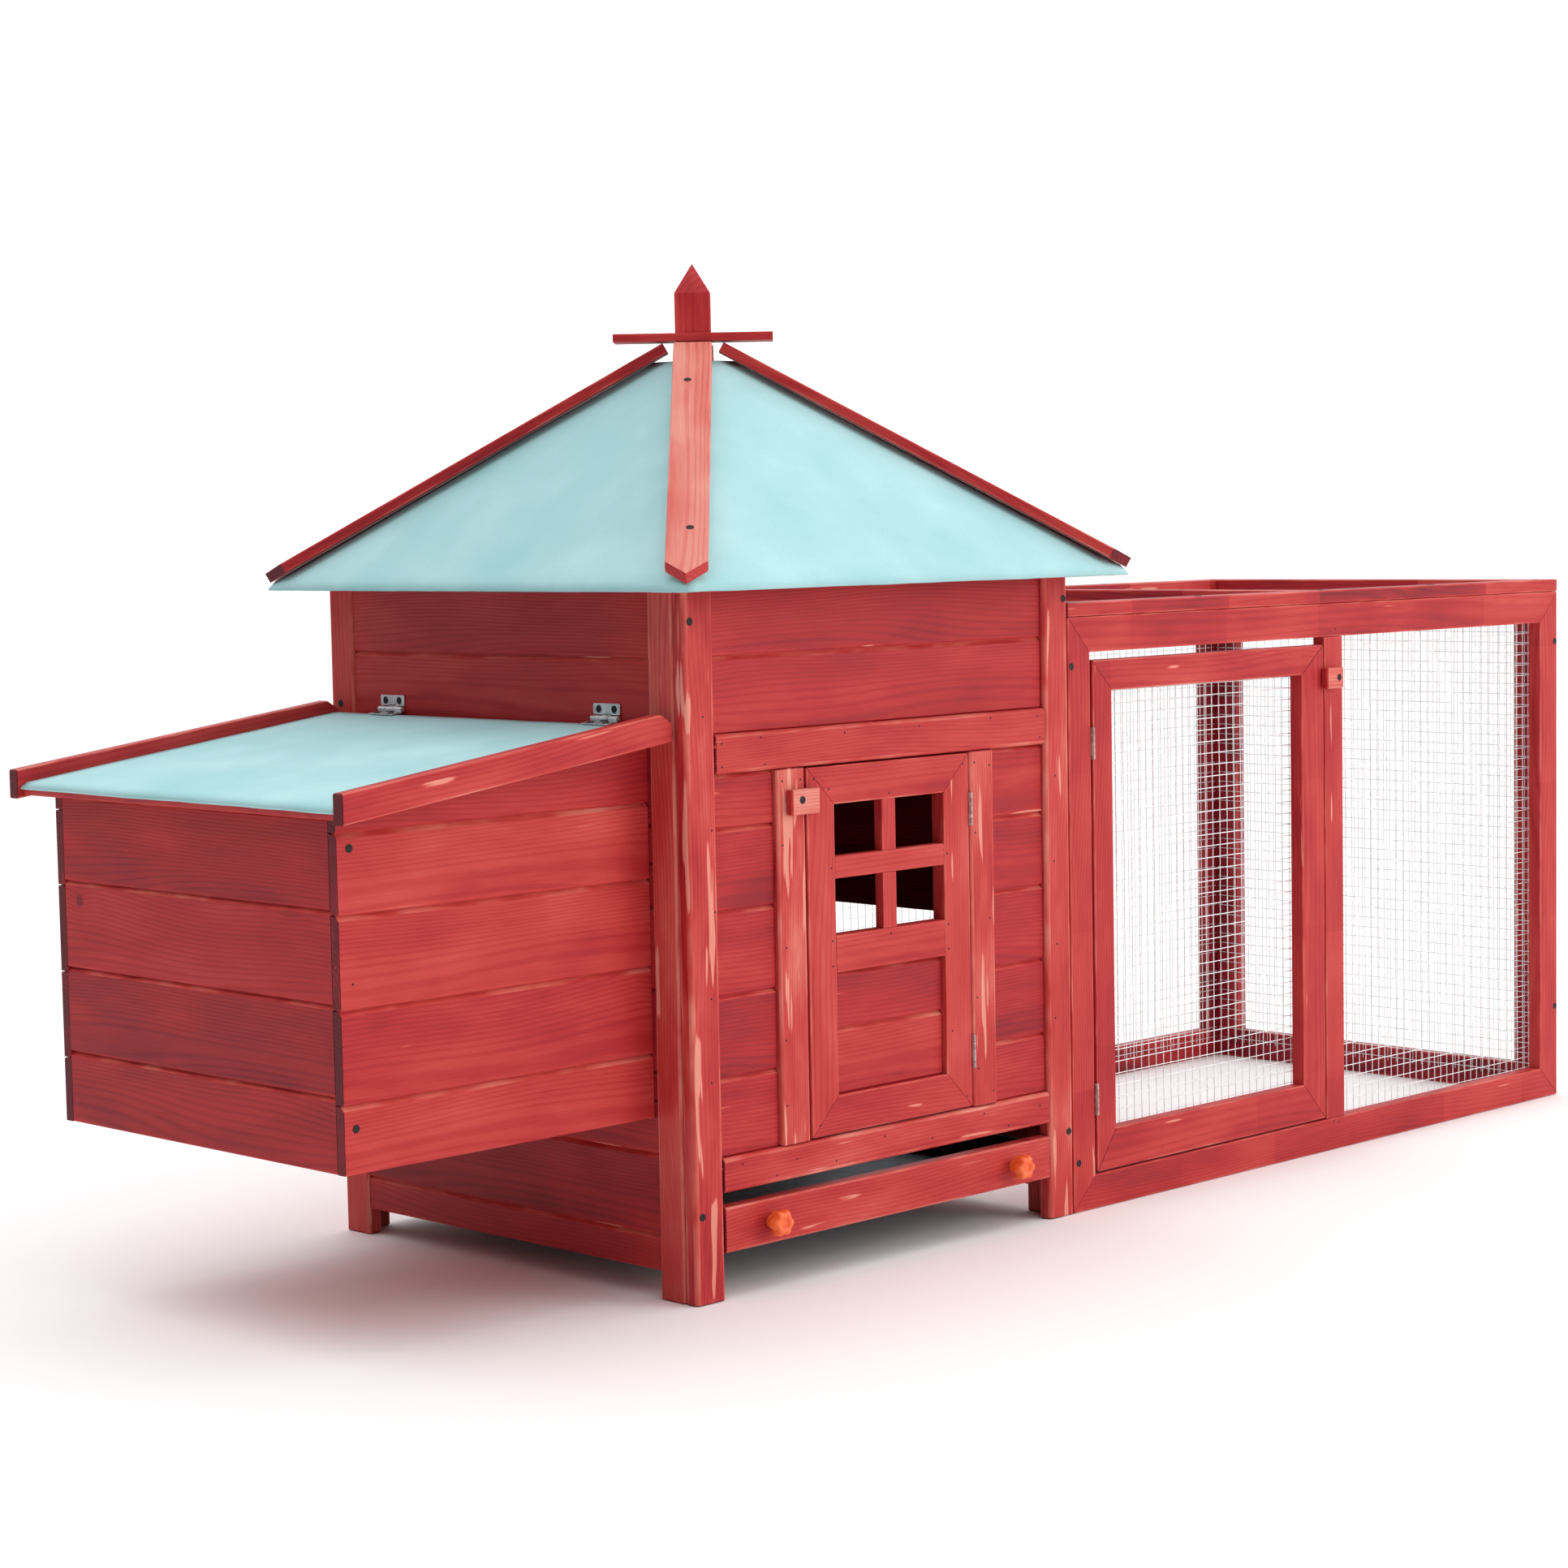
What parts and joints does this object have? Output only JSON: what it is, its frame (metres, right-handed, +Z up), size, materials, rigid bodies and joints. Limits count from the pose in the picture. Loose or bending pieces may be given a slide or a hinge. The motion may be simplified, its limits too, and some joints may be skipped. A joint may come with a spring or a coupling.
{
  "type": "chicken coop",
  "caption": "Wooden chicken coop: hip-roofed house with a side nest box, a hinged door and a slide-out tray, joined to a mesh run with its own door.",
  "frame": {"origin": "middle of the coop's outline on plan, on the ground it stands on", "axes": "+Z up; -Y is the front with both doors; the nest box is at -X and the run is at +X"},
  "size_m": [1.894, 0.6416, 1.01],
  "materials": {
    "stained_fir": "red translucent stain on planed fir",
    "roofing_felt": "turquoise mineral-faced roofing felt",
    "galvanised_steel": "galvanised",
    "orange_moulding": "orange moulded, satin"
  },
  "bodies": {
    "coop": {"front_post_left": "stained_fir", "front_post_right": "stained_fir", "front_lintel": "stained_fir", "front_bottom_rail": "stained_fir", "door_jamb_left": "stained_fir", "door_jamb_right": "stained_fir", "front_boards_upper": "stained_fir", "front_boards_left": "stained_fir", "front_boards_right": "stained_fir", "wall_left": "stained_fir", "wall_right": "stained_fir", "wall_back": "stained_fir", "tray_support": "stained_fir", "perch": "stained_fir", "roof_panel_front": "stained_fir", "roof_panel_right": "stained_fir", "roof_panel_back": "stained_fir", "roof_panel_left": "stained_fir", "roof_felt": "roofing_felt", "hip_batten_front_right": "stained_fir", "hip_batten_back_right": "stained_fir", "hip_batten_back_left": "stained_fir", "hip_batten_front_left": "stained_fir", "finial_post": "stained_fir", "finial_cap": "stained_fir", "nest_side_front": "stained_fir", "nest_side_back": "stained_fir", "nest_front": "stained_fir", "nest_floor": "stained_fir", "nest_divider": "stained_fir", "lid_hinge_front_wall_leaf": "galvanised_steel", "lid_hinge_back_wall_leaf": "galvanised_steel", "run_front_frame": "stained_fir", "run_front_mesh": "galvanised_steel", "run_back_frame": "stained_fir", "run_back_mesh": "galvanised_steel", "run_end_frame": "stained_fir", "run_end_mesh": "galvanised_steel", "run_roof_frame": "stained_fir", "run_roof_mesh": "galvanised_steel"},
    "nest_lid": {"lid_board": "stained_fir", "lid_felt": "roofing_felt", "lid_batten_front": "stained_fir", "lid_batten_back": "stained_fir", "lid_hinge_front_lid_leaf": "galvanised_steel", "lid_hinge_back_lid_leaf": "galvanised_steel"},
    "house_door": {"house_door_frame": "stained_fir", "house_door_panel": "stained_fir", "house_door_hinge_low": "galvanised_steel", "house_door_hinge_high": "galvanised_steel"},
    "run_door": {"run_door_frame": "stained_fir", "run_door_mesh": "galvanised_steel", "run_door_hinge_low": "galvanised_steel", "run_door_hinge_high": "galvanised_steel"},
    "tray": {"tray_pan": "galvanised_steel", "tray_front": "stained_fir", "tray_knob_left": "orange_moulding", "tray_knob_right": "orange_moulding"},
    "house_button": {"house_door_button": "stained_fir"},
    "run_button": {"run_door_button": "stained_fir"}
  },
  "joints": [
    {"name": "nest_lid_hinge", "type": "hinge", "parent": "coop", "child": "nest_lid", "pos_m": [-0.5553, 0.006, 0.5563], "axis": [0, 1, 0], "range_deg": [0, 65]},
    {"name": "house_door_hinge", "type": "hinge", "parent": "coop", "child": "house_door", "pos_m": [-0.15785, -0.2722, 0.32], "axis": [0, 0, 1], "range_deg": [0, 100]},
    {"name": "run_door_hinge", "type": "hinge", "parent": "coop", "child": "run_door", "pos_m": [0.0384, -0.2722, 0.313], "axis": [0, 0, -1], "range_deg": [0, 100]},
    {"name": "tray_slide", "type": "slide", "parent": "coop", "child": "tray", "axis": [0, -1, 0], "range_m": [0, 0.44]},
    {"name": "house_button_turn", "type": "hinge", "parent": "coop", "child": "house_button", "pos_m": [-0.41, -0.2749, 0.473], "axis": [0, 1, 0], "range_deg": [-90, 90]},
    {"name": "run_button_turn", "type": "hinge", "parent": "coop", "child": "run_button", "pos_m": [0.471, -0.2749, 0.55], "axis": [0, 1, 0], "range_deg": [-90, 90]}
  ]
}
